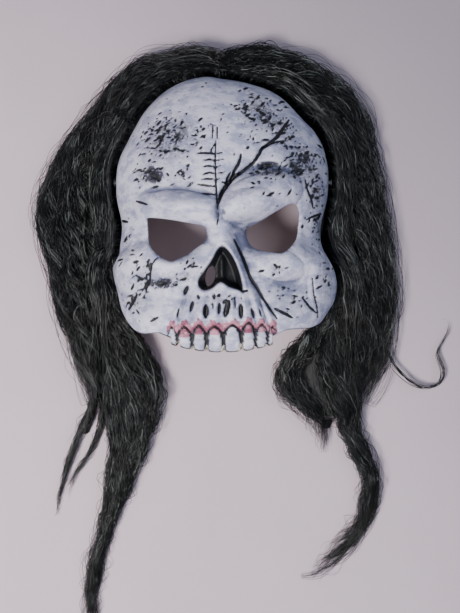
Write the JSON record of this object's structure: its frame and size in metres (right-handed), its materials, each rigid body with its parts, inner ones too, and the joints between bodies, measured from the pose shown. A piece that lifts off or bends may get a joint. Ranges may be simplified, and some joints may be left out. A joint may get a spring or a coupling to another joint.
{
  "type": "halloween mask",
  "caption": "chinless latex skull mask with sculpted brows, cheekbones and upper teeth, long loose synthetic hair sewn round its rim, and an elastic strap behind",
  "frame": {"origin": "middle of the whole object's footprint, on the surface it lies on face up", "axes": "+Z out of the face, away from the surface; +Y towards the crown; +X to the right of a viewer looking down at the face"},
  "size_m": [0.373, 0.535, 0.1031],
  "materials": {
    "latex": "white painted latex with black wash in its cracks and pink gums",
    "knit": "black knitted wig band",
    "weft_thread": "black machine-sewn weft",
    "hair": "long wavy synthetic hair, near black with a green cast",
    "elastic": "black woven elastic",
    "steel": "nickel-plated rivet"
  },
  "bodies": {
    "face": {"face_shell": "latex", "wig_band": "knit", "weft_left": "weft_thread", "weft_crown": "weft_thread", "weft_right": "weft_thread", "hair_roots_left": "hair", "hair_roots_crown": "hair", "hair_roots_right": "hair", "hair_left_under": "hair", "hair_right_under": "hair", "strap_patch_left": "latex", "strap_patch_right": "latex", "rivet_left": "steel", "rivet_right": "steel"},
    "strap": {"strap": "elastic"},
    "left_hair": {"hair_left": "hair"},
    "left_short_lock": {"lock_left_short": "hair"},
    "left_long_lock": {"lock_left_long": "hair"},
    "right_hair": {"hair_right": "hair", "hair_curl_right": "hair"},
    "right_long_lock": {"hair_right_fall": "hair", "lock_right_tuft": "hair", "lock_right_long": "hair"}
  },
  "joints": [
    {"name": "strap_swing", "type": "hinge", "parent": "face", "child": "strap", "pos_m": [-0.02154, 0.14546, 0.016], "axis": [1, 0, 0], "range_deg": [-70, 70]},
    {"name": "left_hair_lift", "type": "hinge", "parent": "face", "child": "left_hair", "pos_m": [-0.13354, 0.08246, 0.021], "axis": [0, 1, 0], "range_deg": [0, 45]},
    {"name": "left_short_lock_swing", "type": "hinge", "parent": "left_hair", "child": "left_short_lock", "pos_m": [-0.13954, -0.05054, 0], "axis": [0, 0, 1], "range_deg": [-8, 5]},
    {"name": "left_long_lock_swing", "type": "hinge", "parent": "face", "child": "left_long_lock", "pos_m": [-0.10954, -0.00154, 0], "axis": [0, 0, 1], "range_deg": [-2, 8]},
    {"name": "right_hair_lift", "type": "hinge", "parent": "face", "child": "right_hair", "pos_m": [0.09646, 0.08246, 0.021], "axis": [0, -1, 0], "range_deg": [0, 45]},
    {"name": "right_long_lock_swing", "type": "hinge", "parent": "face", "child": "right_long_lock", "pos_m": [0.06846, -0.00154, 0], "axis": [0, 0, 1], "range_deg": [-6, 6]}
  ]
}
